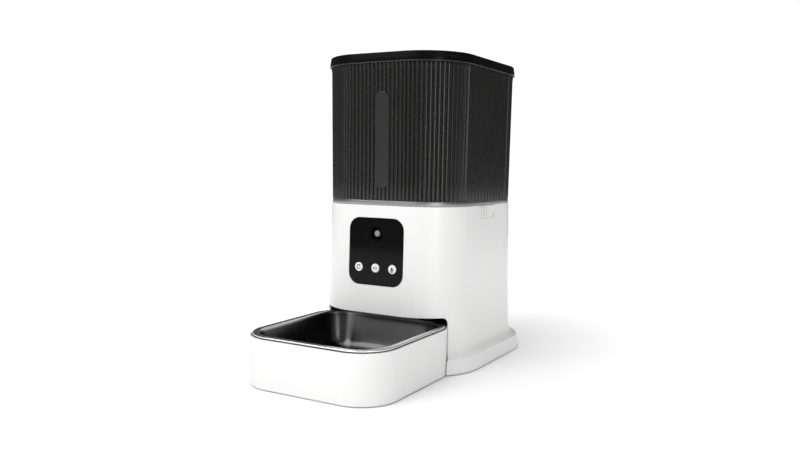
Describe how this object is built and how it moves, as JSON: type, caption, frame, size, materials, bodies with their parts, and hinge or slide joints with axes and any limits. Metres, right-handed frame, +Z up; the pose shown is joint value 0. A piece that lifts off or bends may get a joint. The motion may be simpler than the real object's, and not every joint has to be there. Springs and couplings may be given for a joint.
{
  "type": "automatic pet feeder",
  "caption": "Automatic dry-food feeder: white housing with camera and keys, black ribbed lift-off hopper with lid, motor-driven paddle rotor, and a steel bowl in a docked holder.",
  "frame": {"origin": "on the floor under the centre of the feeder's outline, bowl holder included", "axes": "+Z up, -Y towards the bowl at the front, +X to the right seen from the front"},
  "size_m": [0.1964, 0.3556, 0.3348],
  "materials": {
    "white_shell": "white satin-gloss ABS",
    "white_holder": "white satin-gloss ABS",
    "hopper_black": "black ABS, moulded satin-gloss, ribbed",
    "lid_black": "black ABS, satin",
    "inner_black": "black ABS, matt",
    "panel_gloss": "piano black",
    "smoked_pane": "smoked polycarbonate",
    "button_white": "white keys with plain dark symbols",
    "trim_metal": "brushed around the ring",
    "stainless": "satin stainless",
    "lens_glass": "dark coated lens",
    "rubber_dark": "matt rubber",
    "silicone_white": "translucent white silicone",
    "grey_plastic": "grey ABS",
    "clear_white": "white acetal",
    "circuit_green": "solder-masked circuit board",
    "fastener_steel": "zinc-plated steel",
    "pinion_brass": "turned brass",
    "sachet_paper": "non-woven sachet"
  },
  "bodies": {
    "base": {"main_housing": "white_shell", "dock_liner": "inner_black", "bottom_plate": "white_shell", "bottom_screws": "fastener_steel", "rubber_feet": "rubber_dark", "trim_ring": "trim_metal", "control_panel": "panel_gloss", "camera_barrel": "inner_black", "camera_lens": "lens_glass", "camera_module": "circuit_green", "tact_switches": "inner_black", "button_board": "circuit_green", "microphone": "fastener_steel", "food_chute": "clear_white", "food_sensors": "inner_black", "drive_deck": "grey_plastic", "gearbox_tray": "grey_plastic", "gearbox_cover": "grey_plastic", "spindle_bush": "pinion_brass", "gearbox_screws": "fastener_steel", "motor": "fastener_steel", "board_posts": "grey_plastic", "main_board": "circuit_green", "speaker": "inner_black", "power_inlet": "fastener_steel", "inlet_board": "circuit_green", "inlet_bezel": "inner_black", "battery_box": "grey_plastic", "battery_contacts": "fastener_steel"},
    "hopper": {"hopper_tank": "hopper_black", "view_window": "smoked_pane", "hopper_funnel": "inner_black", "dispensing_drum": "inner_black", "rotor_bush": "clear_white", "portion_baffle": "inner_black"},
    "rotor": {"rotor_hub": "clear_white", "rotor_vanes": "silicone_white", "stirrer": "clear_white"},
    "lid": {"lid_shell": "lid_black", "lid_liner": "inner_black", "lid_gasket": "silicone_white", "desiccant_box": "inner_black", "desiccant_sachet": "sachet_paper"},
    "desiccant_cover": {"desiccant_cover": "inner_black"},
    "lock_left": {"lock_slider_left": "white_shell"},
    "lock_right": {"lock_slider_right": "white_shell"},
    "button_left": {"button_left": "button_white"},
    "button_middle": {"button_middle": "button_white"},
    "button_right": {"button_right": "button_white"},
    "output": {"output_gear": "clear_white", "drive_spigot": "grey_plastic"},
    "idler": {"idler_gear": "clear_white"},
    "pinion": {"motor_pinion": "pinion_brass", "motor_shaft": "fastener_steel"},
    "holder": {"bowl_holder": "white_holder", "holder_pads": "rubber_dark"},
    "bowl": {"steel_bowl": "stainless"},
    "battery_door": {"battery_door": "white_shell"}
  },
  "joints": [
    {"name": "hopper_lift", "type": "slide", "parent": "base", "child": "hopper", "axis": [0, 0, 1], "range_m": [0, 0.075]},
    {"name": "lid_lift", "type": "slide", "parent": "hopper", "child": "lid", "axis": [0, 0, 1], "range_m": [0, 0.06]},
    {"name": "desiccant_twist", "type": "hinge", "parent": "lid", "child": "desiccant_cover", "pos_m": [0, 0.05805, 0.3], "axis": [0, 0, 1], "range_deg": [0, 30]},
    {"name": "rotor_spin", "type": "hinge", "parent": "hopper", "child": "rotor", "pos_m": [0, 0.07205, 0.14], "axis": [0, 0, 1], "continuous": true},
    {"name": "output_spin", "type": "hinge", "parent": "base", "child": "output", "pos_m": [0, 0.07205, 0.115], "axis": [0, 0, 1], "continuous": true},
    {"name": "idler_spin", "type": "hinge", "parent": "base", "child": "idler", "pos_m": [0, 0.09845, 0.11], "axis": [0, 0, 1], "continuous": true},
    {"name": "pinion_spin", "type": "hinge", "parent": "base", "child": "pinion", "pos_m": [0.0224, 0.09845, 0.108], "axis": [0, 0, 1], "continuous": true},
    {"name": "lock_left_slide", "type": "slide", "parent": "base", "child": "lock_left", "axis": [0, 1, 0], "range_m": [0, 0.011]},
    {"name": "lock_right_slide", "type": "slide", "parent": "base", "child": "lock_right", "axis": [0, 1, 0], "range_m": [0, 0.011]},
    {"name": "button_left_press", "type": "slide", "parent": "base", "child": "button_left", "axis": [0, 1, 0], "range_m": [0, 0.0007], "stiffness_N_per_m": 600},
    {"name": "button_middle_press", "type": "slide", "parent": "base", "child": "button_middle", "axis": [0, 1, 0], "range_m": [0, 0.0007], "stiffness_N_per_m": 600},
    {"name": "button_right_press", "type": "slide", "parent": "base", "child": "button_right", "axis": [0, 1, 0], "range_m": [0, 0.0007], "stiffness_N_per_m": 600},
    {"name": "holder_slide", "type": "slide", "parent": "base", "child": "holder", "axis": [0, -1, 0], "range_m": [0, 0.12]},
    {"name": "bowl_lift", "type": "slide", "parent": "holder", "child": "bowl", "axis": [0, 0, 1], "range_m": [0, 0.006]},
    {"name": "battery_door_hinge", "type": "hinge", "parent": "base", "child": "battery_door", "pos_m": [0, 0.01405, 0.0026], "axis": [-1, 0, 0], "range_deg": [0, 80]}
  ],
  "couplings": [
    {"joint": "output_spin", "follows": "rotor_spin", "ratio": 1},
    {"joint": "idler_spin", "follows": "rotor_spin", "ratio": -3.125},
    {"joint": "pinion_spin", "follows": "rotor_spin", "ratio": 7.8125}
  ]
}
